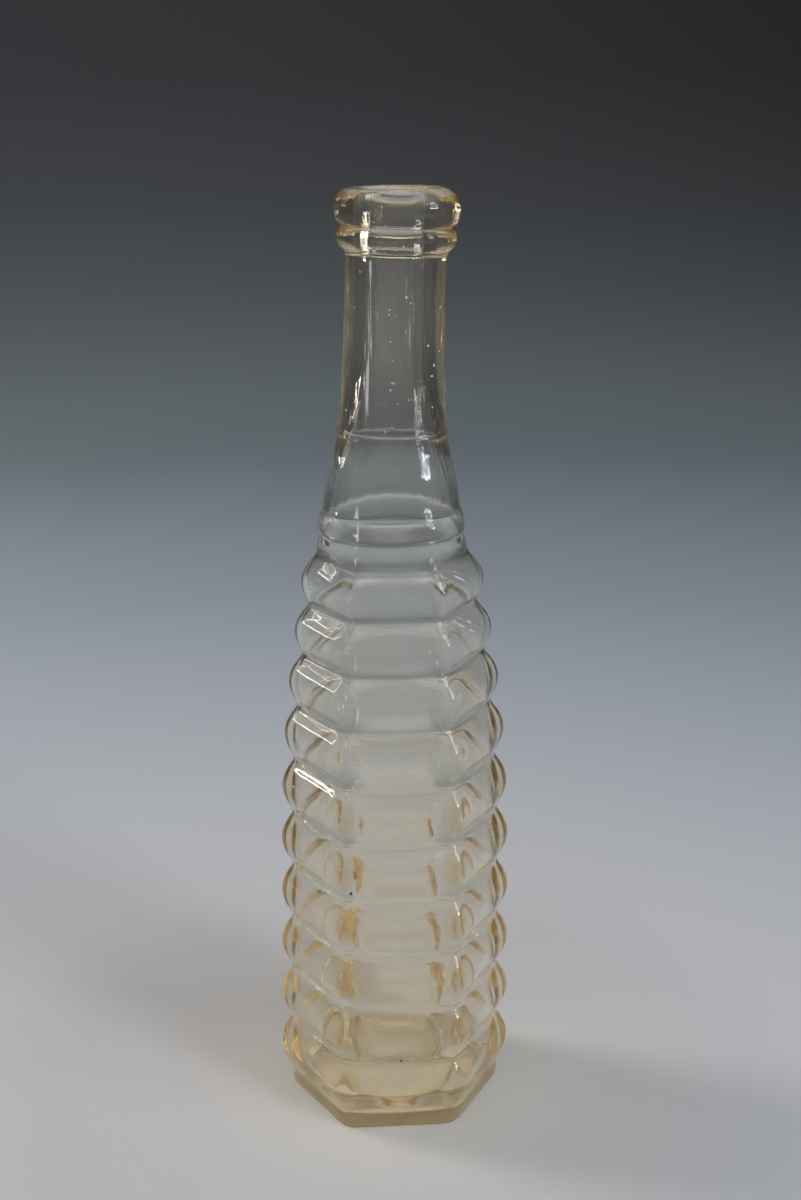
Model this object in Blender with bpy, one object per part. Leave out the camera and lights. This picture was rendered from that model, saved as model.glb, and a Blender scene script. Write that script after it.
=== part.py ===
"""An empty ribbed sauce bottle of clear, faintly straw-coloured glass.

The body is a tall hexagon whose sides are pressed into ten rounded ribs, widest at the foot and drawn in
towards the shoulder. Above the ribs the section turns round: a beaded shoulder, a plain neck that leans a
little, and a finish of two rings with a rounded lip. The bottle is one piece of glass, open at the mouth.

The outside and the inside are each a stack of closed rings, from the middle of the underside up to the lip
and down the bore to the middle of the floor. The walls are thin, so the inside follows the ribs. Corners of
the hexagon lie on the X axis and flat sides face along Y. The foot stands on z = 0, centred on the origin.
All sizes are in metres.
"""

import math

import bpy
import bmesh

# Overall
HEIGHT = 0.2000
NODE = "bottle"

# Hexagonal body. Radii are measured to the rounded corners
BODY_RADIUS = 0.02605
BODY_TAPER = 0.0135
SHOULDER_TAPER = 0.147
SHOULDER_BEND_Z = 0.086
SHOULDER_BEND_SOFTNESS = 0.009

# Ribs, counted upwards from the foot
RIB_COUNT = 10
FIRST_RIB_Z = 0.0106
RIB_PITCH = 0.01256
EVEN_PITCHES = 6
PITCH_LOSS = 0.00062
RIB_DEPTH = 0.00255
RIB_ROWS = (0.36, 0.72)

# Foot
FOOT_RADIUS = 0.0232
FOOT_TOP_Z = 0.0037
HEEL = 0.0006
REST_INNER_RADIUS = 0.0165
RECESS_RADIUS = 0.0115
RECESS_DEPTH = 0.0006
RECESS_DOME = 0.0002

# Shoulder and neck: height and radius where the round outline changes its slope
TOP_RIB_FALL_Z = 0.1268
TOP_RIB_FALL = 0.0036
NECK_LINE = (
    (0.1268, 0.01590), (0.1300, 0.01510), (0.1350, 0.01440), (0.1400, 0.01372),
    (0.1440, 0.01295), (0.1480, 0.01175), (0.1530, 0.01105), (0.1620, 0.01058),
    (0.1730, 0.01030), (0.1865, 0.01025), (0.1925, 0.01090),
)

# Beads on the neck: height of the middle, half of the height, and how far it stands out
BEADS = (
    (0.1325, 0.0016, 0.00080),
    (0.1512, 0.0005, 0.00025),
    (0.1901, 0.0024, 0.00160),
)
BEAD_ROWS = (1.0, 0.85, 0.45, 0.0)

# Lip: a rounded ring, its outer half an ellipse and its inner half a smaller one
LIP_RADIUS = 0.0127
LIP_MIDDLE_Z = 0.1963
LIP_TOP_RADIUS = 0.0088
LIP_UNDERCUT_Z = 0.1927
LIP_UNDERCUT_RADIUS = 0.0115
MOUTH_ROUNDING_Z = 0.0034
LIP_STEPS = 4

# Inside: walls that follow the ribs, between the heel and the neck
WALL_LOW = 0.0019
WALL_HIGH = 0.0014
WALL_FROM_Z = 0.0400
WALL_BY_Z = 0.1050
CREST_FILL = 0.18
INSIDE_RIB_ROWS = (0.5,)
RIBS_INSIDE_FROM_Z = 0.0088
RIBS_INSIDE_TO_Z = 0.1250

# Inside of the neck: height and radius from the shoulder up to the bore
NECK_INSIDE_LINE = (
    (0.1275, 0.01390), (0.1325, 0.01390), (0.1350, 0.01320), (0.1390, 0.01240), (0.1440, 0.01150),
    (0.1485, 0.01000), (0.1550, 0.00800), (0.1660, 0.00650), (0.1800, 0.00600), (0.1930, 0.00580),
)
BORE_RADIUS = 0.0058

# Floor and inner heel: height and radius to the corners, from the middle outwards and up the wall
FLOOR_Z = 0.0030
FLOOR_RADIUS = 0.0108
HEEL_RADIUS = 0.0206
HEEL_LINE = ((0.0024, 0.01620), (0.0026, 0.01900), (0.0034, 0.02060), (0.0050, 0.02140), (0.0074, 0.02240))

# Section: how square the corners are. At 2 the section is a circle, and it nears a sharp hexagon as it grows
SIDES = 6
OUTSIDE_SHARPNESS = 50.0
INSIDE_SHARPNESS = 40.0
UNDERSIDE_SHARPNESS = 7.0
FLOOR_SHARPNESS = 3.0
ROUND_SHARPNESS = 2.0
ROUND_FROM_Z = 0.1190
ROUND_BY_Z = 0.1300

# Points of one ring: each side has two near its corner and two across its face
CORNER_SHARE = 0.32
FACE_SHARE = 0.40

# Hand-made lean of the axis towards +X
BODY_LEAN = 0.0009
BODY_LEAN_FROM_Z = 0.0120
BODY_LEAN_TO_Z = 0.1000
NECK_LEAN = 0.0021
NECK_LEAN_FROM_Z = 0.1350
NECK_LEAN_POWER = 1.2

GLASS_COLOUR = (0.80, 0.76, 0.62, 1.0)
GLASS_ROUGHNESS = 0.03
GLASS_IOR = 1.52


def clear_scene():
    for old in list(bpy.data.objects):
        bpy.data.objects.remove(old)


def share(value, low, high):
    """How far value lies between low and high, from 0 to 1."""
    return min(1.0, max(0.0, (value - low) / (high - low)))


def ease(t):
    return t * t * (3.0 - 2.0 * t)


def along(line, z):
    """The radius at height z on a smooth curve through the points of a line."""
    heights = [p[0] for p in line]
    last = len(line) - 1
    i = max(k for k in range(last) if k == 0 or heights[k] <= z)

    def slope(k):
        low, high = max(0, k - 1), min(last, k + 1)
        return (line[high][1] - line[low][1]) / (heights[high] - heights[low])

    span = heights[i + 1] - heights[i]
    t = share(z, heights[i], heights[i + 1])
    start, end = line[i][1], line[i + 1][1]
    curve = start * (1 + 2 * t) * (1 - t) ** 2 + end * t * t * (3 - 2 * t)
    return curve + span * (slope(i) * t * (1 - t) ** 2 - slope(i + 1) * t * t * (1 - t))


def crest_radius(z):
    """The line that the ribs' crests follow: a slight taper that bends in towards the shoulder."""
    bend = SHOULDER_BEND_SOFTNESS * math.log1p(math.exp((z - SHOULDER_BEND_Z) / SHOULDER_BEND_SOFTNESS))
    return BODY_RADIUS - BODY_TAPER * z - SHOULDER_TAPER * bend


def rib_heights():
    """The ribs sit an even pitch apart low down and close up towards the shoulder."""
    heights = [FIRST_RIB_Z]
    for step in range(RIB_COUNT - 1):
        loss = PITCH_LOSS * max(0, step + 1 - EVEN_PITCHES)
        heights.append(heights[-1] + RIB_PITCH - loss)
    return heights


def rib_side(crest_z, foot_z, fall, rows):
    """Points on one flank of a rib, in the order of rows, which run from 0 at the crest to 1 at its foot."""
    return [
        (crest_z + (foot_z - crest_z) * u, crest_radius(crest_z) - fall * u * u)
        for u in rows
    ]


def body_outline(flank_rows):
    """Height and radius up the outside, from the heel to the fall of the top rib."""
    crests = rib_heights()
    rows = [(0.0, FOOT_RADIUS - HEEL), (HEEL, FOOT_RADIUS), (FOOT_TOP_Z, FOOT_RADIUS)]
    rising = tuple(reversed(flank_rows))
    for i, crest_z in enumerate(crests):
        if i == 0:
            low_z, low_fall = FOOT_TOP_Z, crest_radius(crest_z) - FOOT_RADIUS
        else:
            low_z, low_fall = (crests[i - 1] + crest_z) / 2, RIB_DEPTH
            rows.append((low_z, crest_radius(low_z) - RIB_DEPTH))
        if i == RIB_COUNT - 1:
            high_z, high_fall = TOP_RIB_FALL_Z, TOP_RIB_FALL
        else:
            high_z, high_fall = (crest_z + crests[i + 1]) / 2, RIB_DEPTH
        rows += rib_side(crest_z, low_z, low_fall, rising)
        rows += rib_side(crest_z, high_z, high_fall, (0.0,) + flank_rows)
    return rows


def bead_height(z):
    """How far the beads stand out of the neck's line at height z."""
    out = 0.0
    for middle, half, stand in BEADS:
        u = (z - middle) / half
        if abs(u) < 1.0:
            out += stand * math.sqrt(1.0 - u * u)
    return out


def neck_outline():
    """Height and radius from the fall of the top rib to the undercut below the lip."""
    heights = {p[0] for p in NECK_LINE[:-1]}
    for middle, half, _ in BEADS:
        heights = {z for z in heights if abs(z - middle) > half}
        heights |= {middle - half * u for u in BEAD_ROWS} | {middle + half * u for u in BEAD_ROWS}
    return [(z, along(NECK_LINE, z) + bead_height(z)) for z in sorted(heights)]


def lip_outline():
    """Height and radius over the lip, from its undercut round the top and into the bore."""
    rows = []
    for k in range(-LIP_STEPS, LIP_STEPS + 1):
        angle = math.radians(90) * k / LIP_STEPS
        if k < 0:
            drop, base = LIP_MIDDLE_Z - LIP_UNDERCUT_Z, LIP_UNDERCUT_RADIUS
        else:
            drop, base = HEIGHT - LIP_MIDDLE_Z, LIP_TOP_RADIUS
        rows.append((LIP_MIDDLE_Z + drop * math.sin(angle), base + (LIP_RADIUS - base) * math.cos(angle)))
    for k in range(1, LIP_STEPS + 1):
        angle = math.radians(90) * k / LIP_STEPS
        inward = (LIP_TOP_RADIUS - BORE_RADIUS) * math.sin(angle)
        rows.append((HEIGHT - MOUTH_ROUNDING_Z * (1 - math.cos(angle)), LIP_TOP_RADIUS - inward))
    return rows


def wall(z):
    """Thickness of the body's glass at height z."""
    return WALL_LOW + (WALL_HIGH - WALL_LOW) * ease(share(z, WALL_FROM_Z, WALL_BY_Z))


def inside_outline():
    """Height and radius down the inside, from below the mouth to the edge of the floor.

    The walls of the body are the outside moved in along its normal, and fill the ribs a little.
    """
    outside = body_outline(INSIDE_RIB_ROWS)
    ribs = []
    for low, (z, r), high in zip(outside, outside[1:], outside[2:]):
        if RIBS_INSIDE_FROM_Z < z < RIBS_INSIDE_TO_Z:
            up, out = high[0] - low[0], high[1] - low[1]
            step = wall(z) / math.hypot(up, out)
            relief = max(0.0, RIB_DEPTH - (crest_radius(z) - r))
            ribs.append((z + out * step, r - up * step - CREST_FILL * relief))
    upwards = [(FLOOR_Z, FLOOR_RADIUS), *HEEL_LINE, *ribs, *NECK_INSIDE_LINE]
    return upwards[::-1]


def sharpness(z, full):
    """The corners' sharpness at a height, falling evenly in its inverse to that of a circle."""
    t = ease(share(z, ROUND_FROM_Z, ROUND_BY_Z))
    return 1.0 / ((1 - t) / full + t / ROUND_SHARPNESS)


def inside_sharpness(z, r):
    """Sharp corners up the walls, which soften across the floor towards its middle."""
    if z > HEEL_LINE[-1][0]:
        return sharpness(z, INSIDE_SHARPNESS)
    return FLOOR_SHARPNESS + (INSIDE_SHARPNESS - FLOOR_SHARPNESS) * share(r, FLOOR_RADIUS, HEEL_RADIUS)


def axis_x(z):
    """Where the leaning axis stands at height z."""
    body = BODY_LEAN * math.sin(math.radians(90) * share(z, BODY_LEAN_FROM_Z, BODY_LEAN_TO_Z))
    return body + NECK_LEAN * share(z, NECK_LEAN_FROM_Z, HEIGHT) ** NECK_LEAN_POWER


def section_radius(angle, corner_radius, power):
    """Radius of a rounded hexagon in a direction, from how squarely that direction meets each side."""
    def facing(direction):
        sides = (math.radians(30 + 60 * k) for k in range(SIDES))
        return sum(max(0.0, math.cos(direction - side)) ** power for side in sides) ** (1.0 / power)

    return corner_radius * facing(0.0) / facing(angle)


def ring_angles(roundness):
    """Directions of a ring's points, drawn to the corners while it is a hexagon and evenly spread when round."""
    half_side = math.radians(180 / SIDES)
    near = CORNER_SHARE + (FACE_SHARE - CORNER_SHARE) * roundness
    angles = []
    for k in range(SIDES):
        corner = 2 * half_side * k
        angles += [corner, corner + near * half_side, corner + half_side, corner + (2 - near) * half_side]
    return angles


def add_ring(mesh, z, corner_radius, power):
    """One closed ring of points, square to the leaning axis."""
    roundness = (1 / power - 1 / OUTSIDE_SHARPNESS) / (1 / ROUND_SHARPNESS - 1 / OUTSIDE_SHARPNESS)
    lean = (axis_x(z + HEEL) - axis_x(z)) / HEEL
    ring = []
    for angle in ring_angles(min(1.0, max(0.0, roundness))):
        radius = section_radius(angle, corner_radius, power)
        x, y = radius * math.cos(angle), radius * math.sin(angle)
        ring.append(mesh.verts.new((axis_x(z) + x, y, z - lean * x)))
    return ring


def join_rings(mesh, low, high):
    count = len(low)
    for i in range(count):
        j = (i + 1) % count
        mesh.faces.new((low[i], low[j], high[j], high[i]))


def close_ring(mesh, ring, z, facing_up):
    """A fan from a ring to a point on the axis."""
    middle = mesh.verts.new((axis_x(z), 0.0, z))
    count = len(ring)
    for i in range(count):
        j = (i + 1) % count
        corners = (ring[i], ring[j], middle) if facing_up else (ring[j], ring[i], middle)
        mesh.faces.new(corners)


def glass():
    material = bpy.data.materials.new("glass")
    material.use_nodes = True
    shader = material.node_tree.nodes["Principled BSDF"]
    shader.inputs["Base Color"].default_value = GLASS_COLOUR
    shader.inputs["Roughness"].default_value = GLASS_ROUGHNESS
    shader.inputs["IOR"].default_value = GLASS_IOR
    shader.inputs["Transmission Weight"].default_value = 1.0
    material.diffuse_color = GLASS_COLOUR
    return material


def bottle():
    """The whole bottle as one closed skin: underside, outside, lip, bore, inside and floor."""
    mesh = bmesh.new()
    underside = [
        (RECESS_DEPTH, RECESS_RADIUS, UNDERSIDE_SHARPNESS),
        (0.0, REST_INNER_RADIUS, UNDERSIDE_SHARPNESS),
    ]
    outside = [
        (z, r, sharpness(z, OUTSIDE_SHARPNESS))
        for z, r in body_outline(RIB_ROWS) + neck_outline()
    ]
    lip = [(z, r, ROUND_SHARPNESS) for z, r in lip_outline()]
    inside = [(z, r, inside_sharpness(z, r)) for z, r in inside_outline()]

    rings = [add_ring(mesh, *row) for row in underside + outside + lip + inside]
    for low, high in zip(rings, rings[1:]):
        join_rings(mesh, low, high)
    close_ring(mesh, rings[0], RECESS_DEPTH + RECESS_DOME, facing_up=False)
    close_ring(mesh, rings[-1], FLOOR_Z, facing_up=True)
    bmesh.ops.triangulate(mesh, faces=mesh.faces[:])

    data = bpy.data.meshes.new(NODE)
    mesh.to_mesh(data)
    mesh.free()
    data.shade_smooth()
    data.set_sharp_from_angle(angle=math.radians(40))
    data.materials.append(glass())
    piece = bpy.data.objects.new(NODE, data)
    bpy.context.scene.collection.objects.link(piece)
    return piece


clear_scene()
bottle()
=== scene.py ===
"""The looks of an empty ribbed sauce bottle of straw-tinted glass, laid out as a Blender add-on.

The sidebar panel lists the steps in the order in which main runs them: the glass, the seeds in its wall,
the grit that clings to it, and the stage. All lengths are in metres.
"""

import math
import random

import bpy
import bmesh
import numpy as np
from mathutils import Matrix, Vector


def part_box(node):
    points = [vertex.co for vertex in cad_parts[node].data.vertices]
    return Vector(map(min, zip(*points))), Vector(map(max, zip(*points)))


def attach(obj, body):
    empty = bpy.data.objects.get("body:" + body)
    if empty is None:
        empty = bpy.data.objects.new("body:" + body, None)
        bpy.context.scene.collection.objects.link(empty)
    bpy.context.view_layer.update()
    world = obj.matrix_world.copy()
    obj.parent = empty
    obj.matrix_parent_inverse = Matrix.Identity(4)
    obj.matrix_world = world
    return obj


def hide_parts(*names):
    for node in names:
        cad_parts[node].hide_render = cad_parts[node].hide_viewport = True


bl_info = {
    "name": "Ribbed sauce bottle",
    "version": (1, 0, 0),
    "blender": (4, 5, 0),
    "location": "View3D > Sidebar > Bottle",
    "description": "Builds an empty ribbed glass sauce bottle and its studio stage",
    "category": "Object",
}

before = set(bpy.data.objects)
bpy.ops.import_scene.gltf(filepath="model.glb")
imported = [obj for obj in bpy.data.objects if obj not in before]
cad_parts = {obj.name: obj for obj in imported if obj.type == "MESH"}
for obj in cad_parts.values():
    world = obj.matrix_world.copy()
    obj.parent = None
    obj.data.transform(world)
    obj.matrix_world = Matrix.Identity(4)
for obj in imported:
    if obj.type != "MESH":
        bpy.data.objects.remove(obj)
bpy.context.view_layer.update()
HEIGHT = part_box("bottle")[1].z
NODE = "bottle"

# Ribs: each row has its place between crest and groove, and the share of the depth that it has fallen
RIB_COUNT = 10
FIRST_RIB_Z = 0.0106
RIB_PITCH = 0.01256
EVEN_PITCHES = 6
PITCH_LOSS = 0.00062
RIB_ROWS = ((0.33, 0.12), (0.60, 0.41), (0.82, 0.78))
CREST_EXTRA = 0.0001
BODY_TAPER = 0.0135
SHOULDER_TAPER = 0.147
SHOULDER_BEND_Z = 0.086
SHOULDER_BEND_SOFTNESS = 0.009

# Foot, and the hollow of the underside: height, radius and how round it is
FOOT_RADIUS = 0.0235
FOOT_TOP_Z = 0.0037
HEEL = 0.0003
UNDERSIDE = (
    (0.0, 0.0205, 0.0), (0.0, 0.0165, 0.1), (0.0002, 0.0140, 0.3), (0.0006, 0.0110, 0.6),
    (0.0008, 0.0070, 0.85), (0.0008, 0.0025, 0.95),
)

# Shoulder and neck: height and radius
TOP_RIB_FALL_Z = 0.1268
TOP_RIB_FALL = 0.0036
NECK_LINE = (
    (0.1268, 0.01590), (0.1300, 0.01510), (0.1350, 0.01440), (0.1400, 0.01372),
    (0.1440, 0.01295), (0.1480, 0.01175), (0.1530, 0.01105), (0.1620, 0.01058),
    (0.1730, 0.01030), (0.1865, 0.01025), (0.1925, 0.01090),
)
NECK_STEP = 0.0022

# Beads: height of the middle, half of the height, and how far it stands out
BEADS = (
    (0.1325, 0.0022, 0.00055),
    (0.1512, 0.0006, 0.00025),
    (0.1901, 0.0024, 0.00160),
)
BEAD_ROWS = (1.0, 0.9, 0.65, 0.3, 0.0)
BEAD_GAP = NECK_STEP * 0.3

# Lip
LIP_RADIUS = 0.0127
LIP_MIDDLE_Z = 0.1963
LIP_TOP_RADIUS = 0.0088
LIP_UNDERCUT_Z = 0.1927
LIP_UNDERCUT_RADIUS = 0.0115
MOUTH_ROUNDING_Z = 0.0034
LIP_STEPS = 6

# Inside: the floor, the curve up from it, and the wall
FLOOR_Z = 0.0023
FLOOR_RADIUS = 0.0108
FLOOR_ROWS = ((0.0070, 0.5), (0.0025, 0.9))
HEEL_LINE = (
    (0.0021, 0.01340), (0.0020, 0.01570), (0.0022, 0.01800), (0.0031, 0.01990),
    (0.0048, 0.02130), (0.0072, 0.02250),
)
WALL_LOW = 0.0019
WALL_HIGH = 0.0014
WALL_FROM_Z = 0.0400
WALL_BY_Z = 0.1050
WALL_GAP = 0.0010
NECK_INSIDE_LINE = (
    (0.1275, 0.01390), (0.1325, 0.01390), (0.1350, 0.01320), (0.1390, 0.01240), (0.1440, 0.01150),
    (0.1485, 0.01000), (0.1550, 0.00800), (0.1660, 0.00650), (0.1800, 0.00600), (0.1930, 0.00580),
)
BORE_RADIUS = 0.0058
INSIDE_STEP = 0.0026

# Glass that fills the ribs from behind: shares of their depth, and the sides with the most of it
CREST_FILL = 0.11
CREST_UNEVEN = 0.12
BACK_SIDE = math.radians(85)
CORNER_FILL = 0.60
CORNER_UNEVEN = 0.12
THICK_SIDE = math.radians(-20)
CORNER_NARROWNESS = 6
BACK_CORNERS = 0.20
FILL_FADES_FROM_Z = 0.0700
HEEL_ROUND = 0.085
HEEL_ROUND_Z = 0.0130

# Shallower ribs on the front and the back
FACE_CALM = 0.30
CALM_FROM = 0.72
CALM_BY = 0.86
CALM_FADES_FROM_Z = 0.1120

# Section
SIDES = 6
SIDE_ANGLE = math.radians(360 / SIDES)
CORNER_SEGMENTS = 2
LEVEL_TOLERANCE = 1e-5
FACE_CUTS = 5
INSIDE_CORNER = 0.0016
INSIDE_CORNER_AT = 0.023
BLUNT_FROM_Z = 0.0750
BLUNT = 0.14
ROUND_FROM_Z = 0.1190
ROUND_BY_Z = 0.1300
INSIDE_ROUND_FROM_Z = 0.1180
INSIDE_ROUND_BY_Z = 0.1295

# Lean
BODY_LEAN = 0.0009
BODY_LEAN_FROM_Z = 0.0120
BODY_LEAN_TO_Z = 0.1000
NECK_LEAN = 0.0021
NECK_LEAN_FROM_Z = 0.1350
NECK_LEAN_POWER = 1.2
SLOPE_STEP = 0.0003

# Camera: the place and turn that the photograph was taken from
CAMERA_PLACE = (-0.01647, -0.3424, 0.2172)
CAMERA_DOWN = math.radians(16.64)
CAMERA_TURN = math.radians(-3.18)
CAMERA_ROLL = math.radians(-0.706)
CAMERA_LENS = 50.6

# Amber drops at the crests of the front corners, partly the real amber of thick glass and partly painted
# refraction and inner reflection: how far they reach round a corner and up a rib, at the front corners and
# at the sides
AMBER_FRONT = (0.0685, 0.614)
AMBER_SIDES = (0.26, 0.90)
AMBER_SIDES_BEGIN = (0.80, 0.95)
AMBER_EDGE = (1.15, 0.70)
AMBER_DROPS_Y = (0.012, 0.004)
AMBER_Z = (0.088, 0.072)

# Amber lines along the crests of the back, and the amber foot: painted inner reflection, over the real
# amber of thick glass
AMBER_LINE = 0.60
AMBER_LINE_WIDTH = (0.11, 0.015)
AMBER_LINE_Y = (0.0, 0.008)
AMBER_FOOT_Z = (0.0042, 0.00105)
AMBER_FOOT_RADIUS = (0.0190, 0.0200)

# Stain, wear and unevenness of the surface
STAIN_TOP_Z = 0.150
STAIN_BY_Z = 0.075
STAIN_SCALE = 60.0
STAIN_CLOUD = (0.35, 0.65)
STAIN_LEAST = 0.55
STAIN_MORE = 0.9
FOOT_WEAR_Z = 0.0016
FOOT_WEAR = 0.45
STREAKS = 3.0
STREAKS_FROM_Z = 0.128
STREAKS_BY_Z = 0.152
WAVES_SCALE = 105.0
FINE_SCALE = 620.0
FINE = 0.16
STREAKS_SCALE = 560.0
STREAKS_LENGTHEN = (1.0, 1.0, 0.06)

# Seeds: where they lie, how many, and their smallest and largest radius
SEEDS = ((0.1500, 0.1960, 46, 0.00008, 0.00019), (0.0120, 0.1250, 26, 0.00009, 0.00017))
SEED_STRETCH = 1.7
SEED_SPREAD = math.radians(18)
SEED_DEPTH = 0.0003
SEED_PICK = 7

# Grit: place and radius
GRIT = (
    ((0.0003, -0.0204, 0.0165), 0.00030),
    ((-0.00980, -0.02125, 0.0572), 0.00036),
)
GRIT_SHAPE = (0.8, 1.0, 1.2)
GRIT_DARK = (0.020, 0.014, 0.010, 1)
GRIT_LIGHT = (0.050, 0.036, 0.026, 1)
GRIT_SCALE = 3000.0

# Backdrop: a round bowl
FLOOR_GAP = 0.0002
FLOOR_FLAT = 0.70
BOWL_RADIUS = 1.30
BOWL_BEND = 0.60
BOWL_HEIGHT = 0.9
BOWL_CENTRE = 0.001
BOWL_SIDES = 72
FLAT_RINGS = 6
BEND_RINGS = 12

# Backdrop: its colour and painted glow by the distance from the bottle, with a painted pool of light under
# the glass, and its change to the right (painted shade) and in front
# The first stops, out to the foot, are a painted pool of light under the glass, far lighter than the paper
# around it.
FAR_COLOURS = (
    (0.000, (0.860, 0.850, 0.840)), (0.0160, (0.860, 0.840, 0.800)), (0.0188, (0.450, 0.430, 0.400)),
    (0.050, (0.395, 0.385, 0.385)), (0.080, (0.375, 0.375, 0.385)), (0.105, (0.388, 0.390, 0.400)),
    (0.170, (0.355, 0.368, 0.394)), (0.265, (0.298, 0.325, 0.355)), (0.400, (0.242, 0.268, 0.305)),
    (0.600, (0.203, 0.235, 0.262)), (0.840, (0.152, 0.178, 0.193)), (0.980, (0.102, 0.114, 0.125)),
    (1.090, (0.070, 0.074, 0.079)), (1.200, (0.050, 0.050, 0.053)), (1.300, (0.045, 0.044, 0.047)),
    (1.500, (0.035, 0.034, 0.036)),
)
FAR_REACH = 1.6
# Painted glow: the paper under the glass glows beige in the middle and golden orange under the foot's edge,
# though no lamp is there.
PAINTED_GLOW_COLOURS = (
    (0.0000, (0.090, 0.078, 0.058)), (0.0100, (0.100, 0.086, 0.062)), (0.0150, (0.095, 0.080, 0.056)),
    (0.0180, (0.200, 0.140, 0.065)), (0.0196, (0.240, 0.150, 0.055)), (0.0203, (0.0, 0.0, 0.0)),
)
PAINTED_GLOW_REACH = 0.03
# Painted shade: the backdrop is made darker towards +X, far from the bottle.
SIDE_FALL = 1.15
SIDE_LIMIT = 0.45
SIDE_AWAY = (0.35, 1.40)
FRONT_GREY = (0.50, 0.50, 0.51, 1)
FRONT_Y = (0.25, -0.35)
FRONT_AWAY = (0.35, 0.70)

# Windows: name, angle from +X, distance, foot, head, width, rim, brightness inside and of the rim, colour;
# the sill is the rim's lower side
WINDOWS = (
    ("left window", 153.0, 0.80, 0.235, 0.75, 0.20, 0.010, 0.7, 9.0, (1.0, 0.90, 0.84)),
    ("right window", -24.0, 0.90, 0.26, 0.80, 0.22, 0.030, 2.2, 12.0, (0.84, 0.92, 1.0)),
)
SILL_HEIGHT = 1.5
SILL_GLARE = 2.0
RIM_GAP = 0.002
CEILING_PLACE = (0, -0.75, 1.35)
CEILING_SIZE = (1.6, 1.0)
CEILING_AIM = (0, 0, 0.1)
WORLD = (0.34, 0.35, 0.36, 1)


class BottleSizes(bpy.types.PropertyGroup):
    """Sizes of the bottle that a user would change."""

    body_radius: bpy.props.FloatProperty(
        name="Body radius", description="From the axis to a corner of the widest rib",
        default=0.02605, min=0.015, max=0.04, precision=5, unit="LENGTH",
    )
    corner: bpy.props.FloatProperty(
        name="Corner rounding", description="How far the rounding of a corner reaches along a side",
        default=0.0018, min=0.0002, max=0.006, precision=5, unit="LENGTH",
    )
    rib_depth: bpy.props.FloatProperty(
        name="Rib depth", description="From a rib's crest to the groove beside it, at a corner",
        default=0.00255, min=0.0, max=0.004, precision=5, unit="LENGTH",
    )


class GlassLook(bpy.types.PropertyGroup):
    """Colour and finish of the glass."""

    tint: bpy.props.FloatVectorProperty(
        name="Tint", description="Colour that light keeps on its way through the glass",
        default=(0.955, 0.80, 0.36), size=3, min=0.0, max=1.0, subtype="COLOR",
    )
    density: bpy.props.FloatProperty(
        name="Density", description="How strongly each metre of glass takes its tint",
        default=40.0, min=0.0, max=300.0,
    )
    haze: bpy.props.FloatVectorProperty(
        name="Haze", description="Colour of the worn surface of the glass",
        default=(0.975, 0.970, 0.965), size=3, min=0.0, max=1.0, subtype="COLOR",
    )
    stain: bpy.props.FloatVectorProperty(
        name="Stain", description="Colour of the worn surface lower down, where sauce has stood",
        default=(0.957, 0.935, 0.878), size=3, min=0.0, max=1.0, subtype="COLOR",
    )
    # Painted refraction and inner reflection: this amber is laid on the front drops, the back crest lines
    # and the foot edge, over the real amber of thick glass.
    amber: bpy.props.FloatVectorProperty(
        name="Amber", description="Colour of the thick glass in the corners of the ribs and in the foot",
        default=(0.89, 0.79, 0.62), size=3, min=0.0, max=1.0, subtype="COLOR",
    )
    bloom: bpy.props.FloatProperty(
        name="Bloom", description="Share of the light that the worn surface scatters",
        default=0.009, min=0.0, max=0.5,
    )
    ripple: bpy.props.FloatProperty(
        name="Ripple", description="Height of the slow waves in the surface",
        default=0.00007, min=0.0, max=0.001, precision=6, unit="LENGTH",
    )
    shade: bpy.props.FloatVectorProperty(
        name="Shade", description="Colour of the light that each wall lets through into the shadow",
        default=(0.66, 0.66, 0.65), size=3, min=0.0, max=1.0, subtype="COLOR",
    )
    ior: bpy.props.FloatProperty(
        name="Index", description="Index of refraction of the glass", default=1.51, min=1.3, max=1.7,
    )


class StageLook(bpy.types.PropertyGroup):
    """Light of the stage."""

    key: bpy.props.FloatProperty(
        name="Left fill", description="Brightness of the warm fill on the left", default=16.5, min=0.0,
    )
    ceiling: bpy.props.FloatProperty(
        name="Ceiling", description="Brightness of the broad light above the camera", default=0.9, min=0.0,
    )
    side: bpy.props.FloatProperty(
        name="Right fill", description="Brightness of the cool fill on the right", default=24.5, min=0.0,
    )


def share(value, low, high):
    """How far value lies between low and high, from 0 to 1."""
    return min(1.0, max(0.0, (value - low) / (high - low)))


def ease(t):
    """Turns an even run from 0 to 1 into one that starts and ends softly."""
    return t * t * (3.0 - 2.0 * t)


def along(line, z):
    """The radius at height z on a smooth curve through the points of a line."""
    heights = [p[0] for p in line]
    last = len(line) - 1
    i = max(k for k in range(last) if k == 0 or heights[k] <= z)

    def slope(k):
        low, high = max(0, k - 1), min(last, k + 1)
        return (line[high][1] - line[low][1]) / (heights[high] - heights[low])

    span = heights[i + 1] - heights[i]
    t = share(z, heights[i], heights[i + 1])
    start, end = line[i][1], line[i + 1][1]
    curve = start * (1 + 2 * t) * (1 - t) ** 2 + end * t * t * (3 - 2 * t)
    return curve + span * (slope(i) * t * (1 - t) ** 2 - slope(i + 1) * t * t * (1 - t))


def crest_radius(z, body_radius):
    """From the axis to a corner on the line of the crests, which bends inwards towards the shoulder."""
    bend = SHOULDER_BEND_SOFTNESS * math.log1p(math.exp((z - SHOULDER_BEND_Z) / SHOULDER_BEND_SOFTNESS))
    return body_radius - BODY_TAPER * z - SHOULDER_TAPER * bend


def rib_heights():
    """Heights of the crests, which stand closer together near the shoulder."""
    heights = [FIRST_RIB_Z]
    for step in range(RIB_COUNT - 1):
        loss = PITCH_LOSS * max(0.0, step + 1 - EVEN_PITCHES)
        heights.append(heights[-1] + RIB_PITCH - loss)
    return heights


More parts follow.
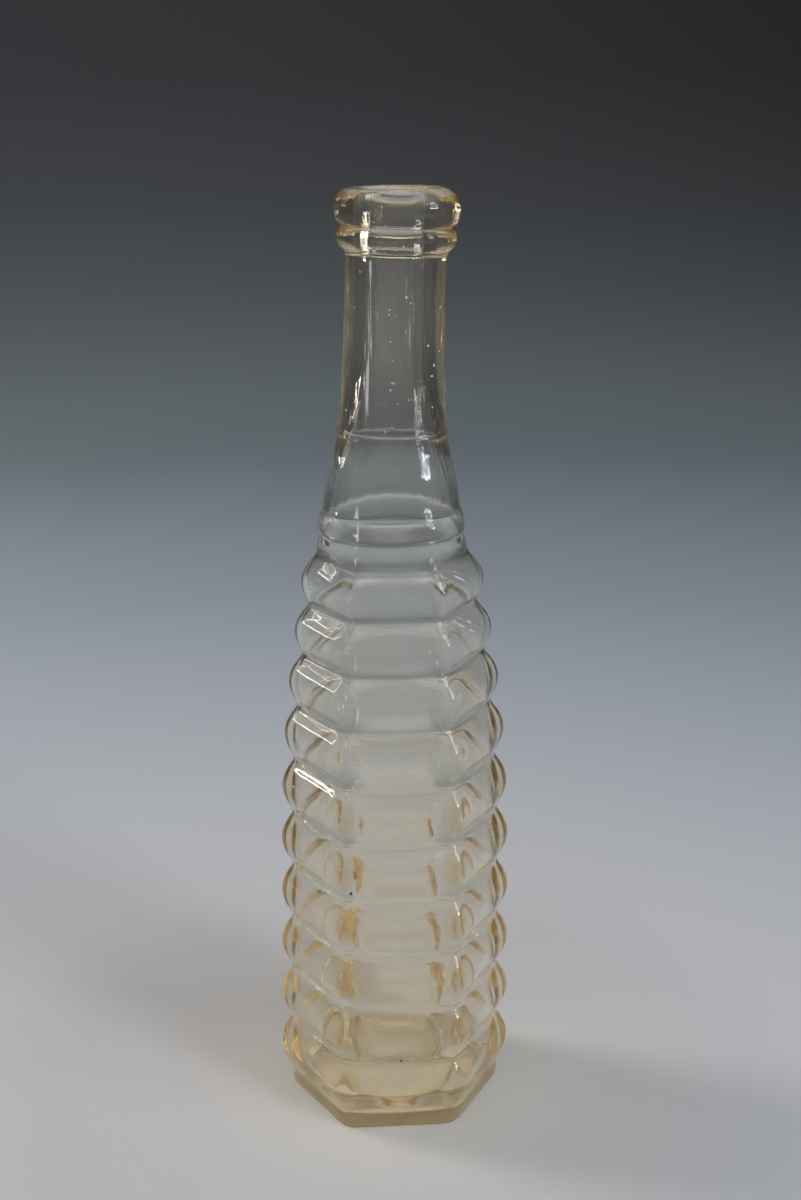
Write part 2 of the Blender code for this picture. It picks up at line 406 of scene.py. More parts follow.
def rib_bounds(i, crests):
    """Heights of the feet of rib i's two flanks."""
    low = FOOT_TOP_Z if i == 0 else (crests[i - 1] + crests[i]) / 2
    high = TOP_RIB_FALL_Z if i == RIB_COUNT - 1 else (crests[i] + crests[i + 1]) / 2
    return low, high


def rib_falls(i, crests, sizes):
    """How far each flank of rib i falls from its crest."""
    low = crest_radius(crests[0], sizes.body_radius) - FOOT_RADIUS if i == 0 else sizes.rib_depth
    high = TOP_RIB_FALL if i == RIB_COUNT - 1 else sizes.rib_depth
    return low, high


def rib_rows(sizes):
    """Up the ribs: the height of each ring and how far it lies below the line of the crests."""
    crests = rib_heights()
    rows = []
    for i, crest in enumerate(crests):
        low, high = rib_bounds(i, crests)
        low_fall, high_fall = rib_falls(i, crests, sizes)
        if i:
            rows.append((low, low_fall))
        rows += [(crest + (low - crest) * u, low_fall * fallen) for u, fallen in reversed(RIB_ROWS)]
        rows.append((crest, -CREST_EXTRA))
        rows += [(crest + (high - crest) * u, high_fall * fallen) for u, fallen in RIB_ROWS]
    return rows


def body_outline(sizes):
    """Up the outside of the foot and the ribs: height and radius."""
    foot = [(HEEL, FOOT_RADIUS), (FOOT_TOP_Z * 0.5, FOOT_RADIUS), (FOOT_TOP_Z, FOOT_RADIUS)]
    return foot + [(z, crest_radius(z, sizes.body_radius) - fall) for z, fall in rib_rows(sizes)]


def bead_height(z):
    """How far the beads stand out at height z."""
    out = 0.0
    for middle, half, stand in BEADS:
        u = (z - middle) / half
        if abs(u) < 1.0:
            out += stand * math.sqrt(1.0 - u * u)
    return out


def neck_outline():
    """Up the outside of the shoulder and the neck, with closer rings at the beads."""
    start, end = NECK_LINE[0][0], NECK_LINE[-1][0]
    steps = round((end - start) / NECK_STEP)
    heights = {start + (end - start) * k / steps for k in range(steps)}
    for middle, half, _ in BEADS:
        heights = {z for z in heights if abs(z - middle) > half + BEAD_GAP}
        heights |= {middle - half * u for u in BEAD_ROWS} | {middle + half * u for u in BEAD_ROWS}
    return [(z, along(NECK_LINE, z) + bead_height(z)) for z in sorted(heights)]


def lip_outline():
    """Round the lip, from its undercut to the top of the bottle."""
    rows = []
    for k in range(-LIP_STEPS, LIP_STEPS + 1):
        angle = math.radians(90) * k / LIP_STEPS
        if k < 0:
            drop, base = LIP_MIDDLE_Z - LIP_UNDERCUT_Z, LIP_UNDERCUT_RADIUS
        else:
            drop, base = HEIGHT - LIP_MIDDLE_Z, LIP_TOP_RADIUS
        rows.append((LIP_MIDDLE_Z + drop * math.sin(angle), base + (LIP_RADIUS - base) * math.cos(angle)))
    return rows


def mouth_outline():
    """From the bore up to the rounded edge of the mouth."""
    rows = []
    for k in range(LIP_STEPS, 0, -1):
        angle = math.radians(90) * k / LIP_STEPS
        inward = (LIP_TOP_RADIUS - BORE_RADIUS) * math.sin(angle)
        rows.append((HEIGHT - MOUTH_ROUNDING_Z * (1 - math.cos(angle)), LIP_TOP_RADIUS - inward))
    return rows


def wall(z):
    """Thickness of the glass of the body in a groove."""
    return WALL_LOW + (WALL_HIGH - WALL_LOW) * ease(share(z, WALL_FROM_Z, WALL_BY_Z))


def inside_outline(sizes):
    """Up the inside, from the edge of the floor to the foot of the mouth."""
    outside = [(z, crest_radius(z, sizes.body_radius) - fall) for z, fall in rib_rows(sizes)]
    rows = list(HEEL_LINE)
    for z, radius in outside:
        if rows[-1][0] + WALL_GAP < z < TOP_RIB_FALL_Z - WALL_GAP:
            rows.append((z, radius - wall(z)))
    start, end = NECK_INSIDE_LINE[0][0], NECK_INSIDE_LINE[-1][0]
    steps = round((end - start) / INSIDE_STEP)
    heights = [start + (end - start) * k / steps for k in range(steps + 1)]
    return rows + [(z, along(NECK_INSIDE_LINE, z)) for z in heights]


def axis_x(z):
    """How far the leaning axis lies to the right at height z."""
    body = BODY_LEAN * math.sin(math.radians(90) * share(z, BODY_LEAN_FROM_Z, BODY_LEAN_TO_Z))
    return body + NECK_LEAN * share(z, NECK_LEAN_FROM_Z, HEIGHT) ** NECK_LEAN_POWER


def deselect():
    """Leaves edit mode and deselects everything."""
    if bpy.context.mode != "OBJECT":
        bpy.ops.object.mode_set(mode="OBJECT")
    bpy.ops.object.select_all(action="DESELECT")


def hexagon(radius, z, corner):
    """A filled hexagon with rounded corners on the X axis, in edit mode with its face selected."""
    deselect()
    bpy.ops.mesh.primitive_circle_add(
        vertices=SIDES, radius=radius, fill_type="NGON",
        location=(0, 0, z), rotation=(0, 0, SIDE_ANGLE / 2))
    piece = bpy.context.object
    bpy.ops.object.transform_apply(location=True, rotation=True, scale=True)
    bpy.ops.object.mode_set(mode="EDIT")
    bpy.ops.mesh.select_all(action="SELECT")
    bpy.ops.mesh.bevel(affect="VERTICES", offset=corner, segments=CORNER_SEGMENTS, profile=0.5)
    select_edges(piece, lambda length: length > radius / 2)
    bpy.ops.mesh.subdivide(number_cuts=FACE_CUTS)
    bpy.ops.mesh.select_all(action="SELECT")
    return piece


def select_edges(piece, wanted):
    """In edit mode, selects the edges whose length is wanted."""
    bpy.ops.mesh.select_all(action="DESELECT")
    mesh = bmesh.from_edit_mesh(piece.data)
    bpy.context.tool_settings.mesh_select_mode = (False, True, False)
    for edge in mesh.edges:
        edge.select = wanted(edge.calc_length())
    mesh.select_flush_mode()
    bmesh.update_edit_mesh(piece.data)


def selected_radius(piece):
    """The distance from the axis to the farthest selected corner."""
    mesh = bmesh.from_edit_mesh(piece.data)
    return max(math.hypot(v.co.x, v.co.y) for v in mesh.verts if v.select)


def raise_walls(piece, rows, start_z):
    """Extrudes the selected cap through rows of height, corner radius and roundness."""
    bpy.context.tool_settings.mesh_select_mode = (False, False, True)
    z = start_z
    done = 0.0
    for height, radius, round_share in rows:
        bpy.ops.mesh.extrude_region_move(TRANSFORM_OT_translate={"value": (0, 0, height - z)})
        if round_share > done:
            turned = (round_share - done) / (1 - done)
            bpy.ops.transform.tosphere(value=turned, center_override=(0, 0, height))
            done = round_share
        scale = radius / selected_radius(piece)
        bpy.ops.transform.resize(value=(scale, scale, 1), center_override=(0, 0, height))
        z = height


def rib_fall(z, sizes):
    """How far the ribbed outside lies below the line of its crests at any height of the body."""
    rows = rib_rows(sizes)
    return float(np.interp(z, [row[0] for row in rows], [row[1] for row in rows]))


def cornering(angle):
    """From 0 in the middle of a side to 1 at a corner."""
    return 0.5 + 0.5 * math.cos(SIDES * angle)


def settle(piece, sizes):
    """Fills the ribs of the blown glass from behind, more on one side and behind the corners."""
    for vertex in piece.data.vertices:
        x, y, z = vertex.co
        radius = math.hypot(x, y)
        if z > TOP_RIB_FALL_Z or radius < FLOOR_RADIUS:
            continue
        angle = math.atan2(y, x)
        corner = cornering(angle) ** CORNER_NARROWNESS
        share_filled = CREST_FILL + CREST_UNEVEN * math.cos(angle - BACK_SIDE)
        corner *= (1 + BACK_CORNERS) / 2 - (1 - BACK_CORNERS) / 2 * math.sin(angle)
        share_filled += corner * (CORNER_FILL + CORNER_UNEVEN * math.cos(angle - THICK_SIDE) - share_filled)
        fade = share(z, FLOOR_Z, FIRST_RIB_Z) * (1 - ease(share(z, FILL_FADES_FROM_Z, TOP_RIB_FALL_Z)))
        fill = share_filled * fade * max(0.0, sizes.rib_depth - rib_fall(z, sizes))
        heel = 1 - ease(share(z, FLOOR_Z, HEEL_ROUND_Z))
        fill += radius * HEEL_ROUND * heel * cornering(angle)
        vertex.co.x, vertex.co.y = x * (1 - fill / radius), y * (1 - fill / radius)


def calm_faces(piece, sizes):
    """Makes the ribs shallower on the front and back faces than at the corners."""
    for vertex in piece.data.vertices:
        x, y, z = vertex.co
        radius = math.hypot(x, y)
        if not FOOT_TOP_Z < z < TOP_RIB_FALL_Z or radius < FLOOR_RADIUS:
            continue
        face = 1 - cornering(math.atan2(y, x)) ** 2
        face *= share(abs(y) / radius, CALM_FROM, CALM_BY)
        fall = min(sizes.rib_depth, max(0.0, rib_fall(z, sizes))) - 0.5 * sizes.rib_depth
        ends = share(z, FOOT_TOP_Z, FIRST_RIB_Z) * (1 - share(z, CALM_FADES_FROM_Z, TOP_RIB_FALL_Z))
        scale = 1 + FACE_CALM * face * ends * fall / radius
        vertex.co.x, vertex.co.y = x * scale, y * scale


def roundness(z, round_from, round_by):
    """How far the section has turned from a hexagon to a circle at height z."""
    blunt = BLUNT * ease(share(z, BLUNT_FROM_Z, round_from))
    return blunt + (1 - BLUNT) * ease(share(z, round_from, round_by))


def glass_shell(sizes):
    """The outside and the inside, each raised ring by ring, joined over the mouth."""
    outside = hexagon(FOOT_RADIUS - HEEL, 0.0, sizes.corner)
    rows = body_outline(sizes) + neck_outline() + lip_outline()
    rows = [(z, r, roundness(z, ROUND_FROM_Z, ROUND_BY_Z)) for z, r in rows]
    raise_walls(outside, rows, 0.0)
    bpy.ops.mesh.delete(type="ONLY_FACE")
    sink_underside(outside)
    bpy.ops.object.mode_set(mode="OBJECT")
    calm_faces(outside, sizes)

    inside = hexagon(FLOOR_RADIUS, FLOOR_Z, INSIDE_CORNER * FLOOR_RADIUS / INSIDE_CORNER_AT)
    rows = inside_outline(sizes)
    rows = [(z, r, roundness(z, INSIDE_ROUND_FROM_Z, INSIDE_ROUND_BY_Z)) for z, r in rows]
    rows += [(z, r, 1.0) for z, r in mouth_outline()]
    raise_walls(inside, rows, FLOOR_Z)
    bpy.ops.mesh.delete(type="ONLY_FACE")
    close_floor(inside)
    bpy.ops.object.mode_set(mode="OBJECT")
    calm_faces(inside, sizes)
    settle(inside, sizes)

    deselect()
    outside.select_set(True)
    inside.select_set(True)
    bpy.context.view_layer.objects.active = outside
    bpy.ops.object.join()
    bpy.ops.object.mode_set(mode="EDIT")
    bpy.context.tool_settings.mesh_select_mode = (False, True, False)
    bpy.ops.mesh.select_all(action="DESELECT")
    bpy.ops.mesh.select_non_manifold(extend=False)
    bpy.ops.mesh.bridge_edge_loops()
    bpy.ops.mesh.select_all(action="SELECT")
    bpy.ops.mesh.normals_make_consistent(inside=False)
    bpy.ops.object.mode_set(mode="OBJECT")
    outside.name = "glass"
    return outside


def select_cap(piece, z):
    """Selects the many-sided face that lies level at height z."""
    bpy.ops.mesh.select_all(action="DESELECT")
    bpy.context.tool_settings.mesh_select_mode = (False, False, True)
    mesh = bmesh.from_edit_mesh(piece.data)
    for face in mesh.faces:
        face.select = len(face.verts) > 4 and abs(face.calc_center_median().z - z) < LEVEL_TOLERANCE
    bmesh.update_edit_mesh(piece.data)


def sink_underside(piece):
    """Draws the bottom cap inwards, from the resting rim into the shallow recess."""
    select_cap(piece, 0.0)
    raise_walls(piece, UNDERSIDE, 0.0)
    bpy.ops.mesh.poke()


def close_floor(piece):
    """Draws the floor's cap in to a small round middle."""
    select_cap(piece, FLOOR_Z)
    raise_walls(piece, [(FLOOR_Z, radius, round_share) for radius, round_share in FLOOR_ROWS], FLOOR_Z)
    bpy.ops.mesh.poke()


def lean(piece):
    """Bends the straight shell along the hand-made lean of its axis."""
    count = len(piece.data.vertices)
    points = np.empty(count * 3)
    piece.data.vertices.foreach_get("co", points)
    points = points.reshape(-1, 3)
    heights = points[:, 2].copy()
    shift = np.array([axis_x(z) for z in heights])
    slope = np.array([(axis_x(z + SLOPE_STEP) - axis_x(z)) / SLOPE_STEP for z in heights])
    points[:, 2] -= slope * points[:, 0]
    points[:, 0] += shift
    piece.data.vertices.foreach_set("co", points.ravel())
    piece.data.update()


def soften(piece, levels):
    """Rounds the cage of rings into a smooth surface."""
    modifier = piece.modifiers.new("Smooth", "SUBSURF")
    modifier.levels = levels
    modifier.render_levels = levels
    deselect()
    piece.select_set(True)
    bpy.context.view_layer.objects.active = piece
    bpy.ops.object.modifier_apply(modifier=modifier.name)
    bpy.ops.object.shade_smooth()


class Wire:
    """One output of a shader node, on which sums can be written as in plain Python."""

    def __init__(self, tree, socket):
        self.tree = tree
        self.socket = socket

    def node(self, kind, inputs, output=0, **settings):
        """Adds a node of a kind, with its inputs and settings, and gives one of its outputs."""
        node = self.tree.nodes.new(kind)
        for name, value in settings.items():
            setattr(node, name, value)
        for key, value in inputs.items():
            if isinstance(value, Wire):
                self.tree.links.new(value.socket, node.inputs[key])
            else:
                node.inputs[key].default_value = value
        return Wire(self.tree, node.outputs[output])

    def into(self, socket):
        """Leads this into an input of another node."""
        self.tree.links.new(self.socket, socket)

    def blend(self, start, end):
        """A colour that goes from start to end while this goes from 0 to 1."""
        return self.node("ShaderNodeMix", {0: self, 6: start, 7: end}, output=2, data_type="RGBA")

    def parts(self):
        """The three numbers of a place or a direction."""
        split = self.node("ShaderNodeSeparateXYZ", {0: self})
        return [Wire(self.tree, output) for output in split.socket.node.outputs]

    def maths(self, operation, *values):
        """Adds a Math node with an operation on values or wires."""
        return self.node("ShaderNodeMath", dict(enumerate(values)), operation=operation)

    def __add__(self, other):
        return self.maths("ADD", self, other)

    def __radd__(self, other):
        return self.maths("ADD", other, self)

    def __sub__(self, other):
        return self.maths("SUBTRACT", self, other)

    def __rsub__(self, other):
        return self.maths("SUBTRACT", other, self)

    def __mul__(self, other):
        return self.maths("MULTIPLY", self, other)

    def __rmul__(self, other):
        return self.maths("MULTIPLY", other, self)

    def __truediv__(self, other):
        return self.maths("DIVIDE", self, other)

    def __rtruediv__(self, other):
        return self.maths("DIVIDE", other, self)

    def between(self, low, high, start=0.0, end=1.0):
        """Runs smoothly from start to end while this goes from low to high."""
        limits = {"From Min": low, "From Max": high, "To Min": start, "To Max": end}
        return self.node("ShaderNodeMapRange", {0: self, **limits}, interpolation_type="SMOOTHSTEP")


def new_material(name):
    """A material with its shader, and a wire of the object's own coordinates."""
    material = bpy.data.materials.new(name)
    material.use_nodes = True
    tree = material.node_tree
    place = tree.nodes.new("ShaderNodeTexCoord").outputs["Object"]
    return material, tree.nodes["Principled BSDF"], Wire(tree, place)


def thick_glass_and_painted_refraction(place):
    """How far a point lies in the amber places: drops at the crests of the front corners, lines along the
    back crests, and the foot; partly the real amber of thick glass, partly painted refraction and inner
    reflection.
    """
    across, depth, up = place.parts()
    across = across - 0.5 * BODY_LEAN
    angle = depth.maths("ARCTAN2", depth, across)
    off_corner = 0.5 - 0.5 * angle.maths("COSINE", angle * SIDES)
    phase = (up - FIRST_RIB_Z) * (math.radians(360) / RIB_PITCH)
    off_crest = 0.5 - 0.5 * phase.maths("COSINE", phase)
    side = angle.maths("ABSOLUTE", angle.maths("COSINE", angle)).between(*AMBER_SIDES_BEGIN)
    front = off_corner / AMBER_FRONT[0] + off_crest / AMBER_FRONT[1]
    sides = off_corner / AMBER_SIDES[0] + off_crest / AMBER_SIDES[1]
    miss = front + side * (sides - front)
    # Painted refraction: amber drops at the corners' crests, on the front (-Y) side only.
    drops = miss.between(*AMBER_EDGE) * depth.between(*AMBER_DROPS_Y)
    # Painted inner reflection: amber lines along the crests, on the back (+Y) side only.
    lines = AMBER_LINE * off_crest.between(*AMBER_LINE_WIDTH) * depth.between(*AMBER_LINE_Y)
    ribs = (drops + lines) * up.between(*AMBER_Z)
    # Painted inner reflection: amber round the edge of the foot.
    out = depth.maths("SQRT", depth * depth + across * across)
    foot = up.between(*AMBER_FOOT_Z) * out.between(*AMBER_FOOT_RADIUS)
    return ribs.maths("MAXIMUM", ribs, foot)


def glass_material(look):
    """Worn straw glass: stained low down, amber where it is thick, with painted refraction and inner
    reflection in amber at the front corners, the back crests and the foot, rippled, and streaked along the
    neck.
    """
    material, shader, place = new_material("straw glass")
    tree = material.node_tree
    up = place.parts()[2]
    worn = FOOT_WEAR * up.between(FOOT_WEAR_Z, 0.0)
    worn.into(shader.inputs["Roughness"])
    stain = place.node("ShaderNodeTexNoise", {"Vector": place, "Scale": STAIN_SCALE, "Detail": 2.0})
    stained = up.between(STAIN_TOP_Z, STAIN_BY_Z) * (STAIN_LEAST + STAIN_MORE * stain.between(*STAIN_CLOUD))
    colour = stained.blend((*look.haze, 1), (*look.stain, 1))
    # Painted refraction and inner reflection: amber drops, crest lines and foot edge, over the real amber
    # of thick glass.
    colour = thick_glass_and_painted_refraction(place).blend(colour, (*look.amber, 1))
    colour.into(shader.inputs["Base Color"])
    shader.inputs["IOR"].default_value = look.ior
    shader.inputs["Transmission Weight"].default_value = 1.0 - look.bloom
    waves = place.node("ShaderNodeTexNoise", {"Vector": place, "Scale": WAVES_SCALE, "Detail": 1.5})
    drawn = place.node("ShaderNodeVectorMath", {0: place, 1: STREAKS_LENGTHEN}, operation="MULTIPLY")
    streaks = place.node("ShaderNodeTexNoise", {"Vector": drawn, "Scale": STREAKS_SCALE, "Detail": 2.0})
    fine = place.node("ShaderNodeTexNoise", {"Vector": place, "Scale": FINE_SCALE, "Detail": 2.0})
    height = waves + FINE * fine + STREAKS * streaks * up.between(STREAKS_FROM_Z, STREAKS_BY_Z)
    bump = height.node("ShaderNodeBump", {"Height": height, "Strength": 1.0, "Distance": look.ripple})
    bump.into(shader.inputs["Normal"])
    finish = tree.nodes["Material Output"]
    absorb = place.node("ShaderNodeVolumeAbsorption", {"Color": (*look.tint, 1), "Density": look.density})
    absorb.into(finish.inputs["Volume"])
    shadow = Wire(tree, tree.nodes.new("ShaderNodeLightPath").outputs["Is Shadow Ray"])
    clear = place.node("ShaderNodeBsdfTransparent", {"Color": (*look.shade, 1)})
    both = place.node("ShaderNodeMixShader", {0: shadow, 1: Wire(tree, shader.outputs[0]), 2: clear})
    both.into(finish.inputs["Surface"])
    return material


class BOTTLE_OT_glass(bpy.types.Operator):
    """Build the ribbed glass bottle"""

    bl_idname = "bottle.glass"
    bl_label = "Glass"

    def execute(self, context):
        piece = glass_shell(context.scene.bottle_sizes)
        lean(piece)
        soften(piece, 1)
        piece.data.materials.clear()
        piece.data.materials.append(glass_material(context.scene.bottle_glass))
        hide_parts(NODE)
        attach(piece, "root")
        return {"FINISHED"}


def wall_middle(z, angle, sizes):
    """The radius of the middle of the wall at a height and an angle."""
    if z > NECK_LINE[0][0]:
        inside = along(NECK_INSIDE_LINE, min(z, NECK_INSIDE_LINE[-1][0]))
        return (along(NECK_LINE, min(z, NECK_LINE[-1][0])) + inside) / 2
    off = angle % SIDE_ANGLE - SIDE_ANGLE / 2
    corner = crest_radius(z, sizes.body_radius) - rib_fall(z, sizes)
    return corner * math.cos(SIDE_ANGLE / 2) / math.cos(off) - wall(z) / 2


class BOTTLE_OT_seeds(bpy.types.Operator):
    """Scatter small bubbles in the wall: hollows without a material, which show as pale specks"""

    bl_idname = "bottle.seeds"
    bl_label = "Seeds"

    def execute(self, context):
        sizes = context.scene.bottle_sizes
        pick = random.Random(SEED_PICK)
        deselect()
        drops = []
        for low, high, count, small, large in SEEDS:
            for _ in range(count):
                z = pick.uniform(low, high)
                angle = SIDE_ANGLE * (pick.randrange(SIDES) + 0.5) + pick.uniform(-SEED_SPREAD, SEED_SPREAD)
                radius = wall_middle(z, angle, sizes) + pick.uniform(-SEED_DEPTH, SEED_DEPTH)
                place = (axis_x(z) + radius * math.cos(angle), radius * math.sin(angle), z)
                size = pick.uniform(small, large)
                bpy.ops.mesh.primitive_ico_sphere_add(subdivisions=2, radius=size, location=place)
                context.object.scale.z = pick.uniform(1.0, SEED_STRETCH)
                drops.append(context.object)
        for drop in drops:
            drop.select_set(True)
        bpy.ops.object.join()
        bpy.ops.object.transform_apply(location=True, rotation=True, scale=True)
        bpy.ops.object.mode_set(mode="EDIT")
        bpy.ops.mesh.select_all(action="SELECT")
        bpy.ops.mesh.normals_make_consistent(inside=True)
        bpy.ops.object.mode_set(mode="OBJECT")
        bpy.ops.object.shade_smooth()
        glass = bpy.data.objects["glass"]
        glass.select_set(True)
        bpy.context.view_layer.objects.active = glass
        bpy.ops.object.join()
        return {"FINISHED"}


def grit_material():
    """Dull dark brown dirt."""
    material, shader, place = new_material("grit")
    mottle = place.node("ShaderNodeTexNoise", {"Vector": place, "Scale": GRIT_SCALE})
    mottle.blend(GRIT_DARK, GRIT_LIGHT).into(shader.inputs["Base Color"])
    shader.inputs["Roughness"].default_value = 0.85
    return material


class BOTTLE_OT_grit(bpy.types.Operator):
    """Set the two dark specks of grit on the glass"""

    bl_idname = "bottle.grit"
    bl_label = "Grit"

    def execute(self, context):
        deselect()
        specks = []
        for place, radius in GRIT:
            bpy.ops.mesh.primitive_ico_sphere_add(subdivisions=2, radius=radius, location=place)
            context.object.scale = GRIT_SHAPE
            specks.append(context.object)
        for speck in specks:
            speck.select_set(True)
        bpy.ops.object.join()
        piece = context.object
        bpy.ops.object.transform_apply(location=True, rotation=True, scale=True)
        bpy.ops.object.shade_smooth()
        piece.name = "grit"
        piece.data.materials.append(grit_material())
        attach(piece, "root")
        return {"FINISHED"}


def panel(name, turn, distance, low, high, width, radiance, colour, aside=0.0, seen=True):
    """An upright panel of light that faces the bottle from an angle, in degrees from +X towards +Y."""
    data = bpy.data.lights.new(name, "AREA")
    data.shape = "RECTANGLE"
    data.size, data.size_y = width, high - low
    data.energy = radiance * math.pi * width * (high - low)
    data.color = colour
    light = bpy.data.objects.new(name, data)
    way = Vector((math.cos(math.radians(turn)), math.sin(math.radians(turn)), 0))
    across = Vector((-way.y, way.x, 0))
    light.location = way * distance + across * aside + Vector((0, 0, (low + high) / 2))
    light.rotation_euler = (-way).to_track_quat("-Z", "Y").to_euler()
    light.visible_camera = False
    light.visible_glossy = seen
    light.visible_transmission = seen
    bpy.context.scene.collection.objects.link(light)


def window(name, turn, distance, low, high, width, rim, glow, glare, colour):
    """A softbox that glows evenly inside a brighter rim, whose foot is the brightest."""
    near = distance - RIM_GAP
    panel(name, turn, distance, low, high, width, glow, colour)
    for side in (-1, 1):
        panel(f"{name} side", turn, near, low, high, rim, glare, colour, side * (width - rim) / 2)
    panel(f"{name} head", turn, near, high - rim, high, width, glare, colour)
    panel(f"{name} foot", turn, near, low, low + SILL_HEIGHT * rim, width, SILL_GLARE * glare, colour)


def ceiling(brightness):
    """A broad light above the camera."""
    data = bpy.data.lights.new("ceiling", "AREA")
    data.shape = "RECTANGLE"
    data.size, data.size_y = CEILING_SIZE
    data.energy = brightness * math.pi * CEILING_SIZE[0] * CEILING_SIZE[1]
    light = bpy.data.objects.new("ceiling", data)
    light.location = CEILING_PLACE
    light.rotation_euler = (Vector(CEILING_AIM) - light.location).to_track_quat("-Z", "Y").to_euler()
    light.visible_camera = False
    bpy.context.scene.collection.objects.link(light)


def lights(look):
    """The windows, a low strip beside the camera, and fills that the glass doesn't mirror."""
    for values in WINDOWS:
        window(*values)
    panel("left strip", turn=208.0, distance=0.80, low=0.035, high=0.135, width=0.09,
          radiance=6.5, colour=(1.0, 0.97, 0.95))
    panel("left fill", turn=156.0, distance=0.78, low=0.10, high=0.70, width=0.24,
          radiance=look.key, colour=(1.0, 0.95, 0.90), seen=False)
    panel("right fill", turn=-46.0, distance=0.88, low=0.26, high=0.66, width=0.24,
          radiance=look.side, colour=(0.90, 0.95, 1.0), seen=False)
    ceiling(look.ceiling)
    world = bpy.data.worlds.new("studio")
    bpy.context.scene.world = world
    world.use_nodes = True
    world.node_tree.nodes["Background"].inputs["Color"].default_value = WORLD


def camera():
    """Sets up the camera at the photograph's own place."""
    data = bpy.data.cameras.new("camera")
    data.lens = CAMERA_LENS
    data.sensor_width = 36
    data.clip_start, data.clip_end = 0.01, 20
    piece = bpy.data.objects.new("camera", data)
    turn = Matrix.Rotation(CAMERA_TURN, 4, "Z")
    down = Matrix.Rotation(math.radians(90) - CAMERA_DOWN, 4, "X")
    roll = Matrix.Rotation(CAMERA_ROLL, 4, "Z")
    piece.matrix_world = Matrix.Translation(CAMERA_PLACE) @ turn @ down @ roll
    bpy.context.scene.collection.objects.link(piece)
    bpy.context.scene.camera = piece


def ramp(wire, stops):
    """A colour that runs through stops of place and colour."""
    out = wire.node("ShaderNodeValToRGB", {0: wire})
    elements = out.socket.node.color_ramp.elements
    for i, (place, colour) in enumerate(stops):
        element = elements[i] if i < 2 else elements.new(place)
        element.position = place
        element.color = (*colour, 1)
    return out


def backdrop_material():
    """Paper that darkens with distance from the bottle, with painted shade dimming it to the right, and a
    painted pool of light and a faint painted glow under the glass.
    """
    material, shader, place = new_material("backdrop paper")
    shader.inputs["Roughness"].default_value = 0.9
    shader.inputs["Specular IOR Level"].default_value = 0.1
    across, depth, _ = place.parts()
    far = place.node("ShaderNodeVectorMath", {0: place}, output=1, operation="LENGTH")
    colour = ramp(far / FAR_REACH, [(at / FAR_REACH, shade) for at, shade in FAR_COLOURS])
    # Painted shade: darker towards +X, far from the bottle.
    near = across.maths("MINIMUM", across.maths("MAXIMUM", across, -SIDE_LIMIT), SIDE_LIMIT)
    painted_side_shade = 1.0 - SIDE_FALL * near * far.between(*SIDE_AWAY)
    colour = colour.node("ShaderNodeVectorMath", {0: colour, "Scale": painted_side_shade}, operation="SCALE")
    front = depth.between(*FRONT_Y) * far.between(*FRONT_AWAY)
    front.blend(colour, FRONT_GREY).into(shader.inputs["Base Color"])
    # Painted glow under the glass, from the paper's own emission.
    glow = ramp(far / PAINTED_GLOW_REACH, [(at / PAINTED_GLOW_REACH, shade) for at, shade in PAINTED_GLOW_COLOURS])
    glow.into(shader.inputs["Emission Color"])
    shader.inputs["Emission Strength"].default_value = 1.0
    return material


def paper_bowl():
    """A flat round floor that bends up into a wall all round."""
    deselect()
    bpy.ops.mesh.primitive_circle_add(vertices=BOWL_SIDES, radius=BOWL_CENTRE, fill_type="NGON")
    piece = bpy.context.object
    bpy.ops.object.mode_set(mode="EDIT")
    bpy.ops.mesh.select_all(action="SELECT")
    rows = [(0.0, FLOOR_FLAT * k / FLAT_RINGS) for k in range(1, FLAT_RINGS + 1)]
    for k in range(1, BEND_RINGS + 1):
        angle = math.radians(90) * k / BEND_RINGS
        rows.append((BOWL_BEND * (1 - math.cos(angle)), FLOOR_FLAT + BOWL_BEND * math.sin(angle)))
    rows.append((BOWL_HEIGHT, BOWL_RADIUS))
    raise_walls(piece, [(z, radius, 0.0) for z, radius in rows], 0.0)
    bpy.ops.mesh.delete(type="ONLY_FACE")
    bpy.ops.mesh.select_all(action="SELECT")
    bpy.ops.mesh.flip_normals()
    bpy.ops.object.mode_set(mode="OBJECT")
    bpy.ops.object.shade_smooth()
    piece.location.z = -FLOOR_GAP
    piece.name = "backdrop"
    return piece


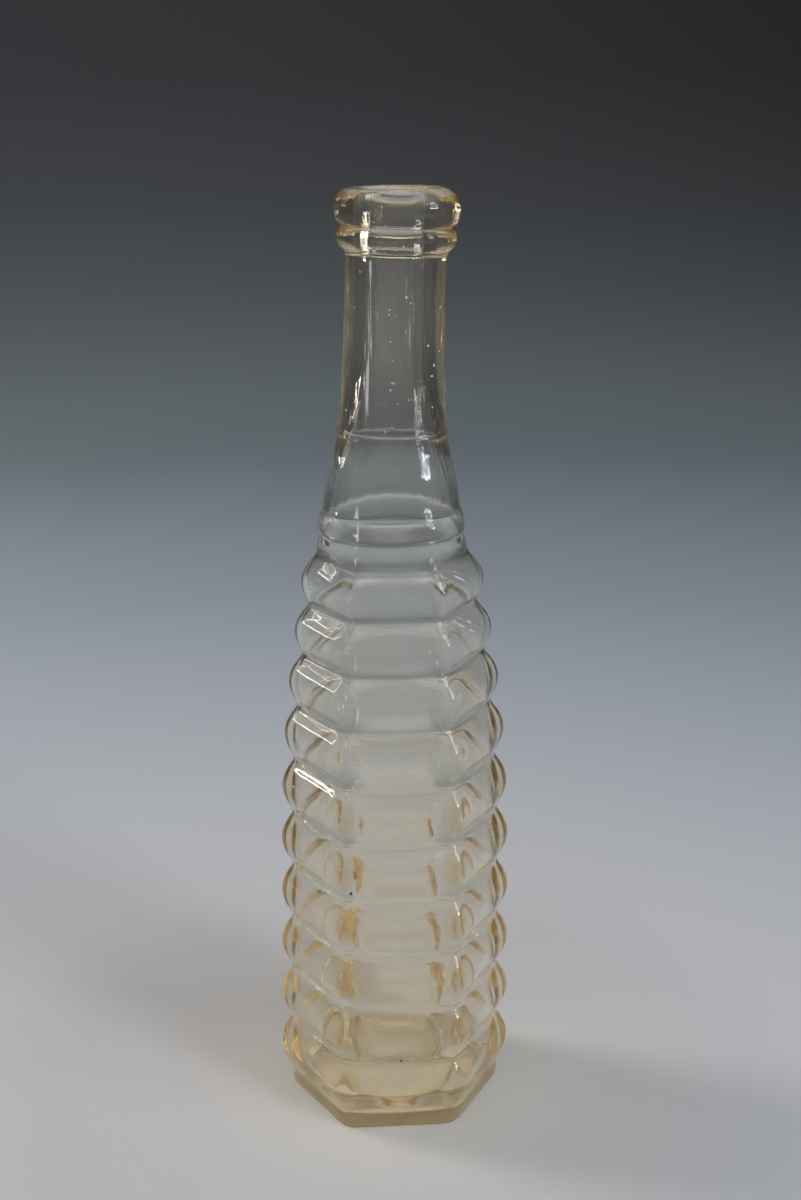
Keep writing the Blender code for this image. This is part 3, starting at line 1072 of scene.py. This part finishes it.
class BOTTLE_OT_stage(bpy.types.Operator):
    """Build the floor, backdrop, lights and camera"""

    bl_idname = "bottle.stage"
    bl_label = "Stage"

    def execute(self, context):
        floor = paper_bowl()
        floor.data.materials.append(backdrop_material())
        lights(context.scene.bottle_stage)
        cycles = context.scene.cycles
        cycles.max_bounces = 24
        cycles.glossy_bounces = 16
        cycles.transmission_bounces = 24
        context.scene.view_settings.view_transform = "Standard"
        camera()
        return {"FINISHED"}


class BOTTLE_PT_panel(bpy.types.Panel):
    """Sizes, looks and steps of the bottle in the sidebar"""

    bl_idname = "BOTTLE_PT_panel"
    bl_label = "Ribbed bottle"
    bl_space_type = "VIEW_3D"
    bl_region_type = "UI"
    bl_category = "Bottle"

    def draw(self, context):
        layout = self.layout
        for group in (context.scene.bottle_sizes, context.scene.bottle_glass, context.scene.bottle_stage):
            for name in group.__annotations__:
                layout.prop(group, name)
        layout.operator(BOTTLE_OT_glass.bl_idname)
        layout.operator(BOTTLE_OT_seeds.bl_idname)
        layout.operator(BOTTLE_OT_grit.bl_idname)
        layout.operator(BOTTLE_OT_stage.bl_idname)


CLASSES = (
    BottleSizes, GlassLook, StageLook, BOTTLE_OT_glass, BOTTLE_OT_seeds, BOTTLE_OT_grit, BOTTLE_OT_stage,
    BOTTLE_PT_panel,
)


def register():
    """Adds the classes and their settings to Blender."""
    for item in CLASSES:
        bpy.utils.register_class(item)
    bpy.types.Scene.bottle_sizes = bpy.props.PointerProperty(type=BottleSizes)
    bpy.types.Scene.bottle_glass = bpy.props.PointerProperty(type=GlassLook)
    bpy.types.Scene.bottle_stage = bpy.props.PointerProperty(type=StageLook)


def unregister():
    """Takes the classes and their settings away again."""
    del bpy.types.Scene.bottle_sizes
    del bpy.types.Scene.bottle_glass
    del bpy.types.Scene.bottle_stage
    for item in reversed(CLASSES):
        bpy.utils.unregister_class(item)


def main():
    """Builds the bottle and its stage."""
    register()
    bpy.ops.bottle.glass()
    bpy.ops.bottle.seeds()
    bpy.ops.bottle.grit()
    bpy.ops.bottle.stage()


if __name__ == "__main__":
    main()
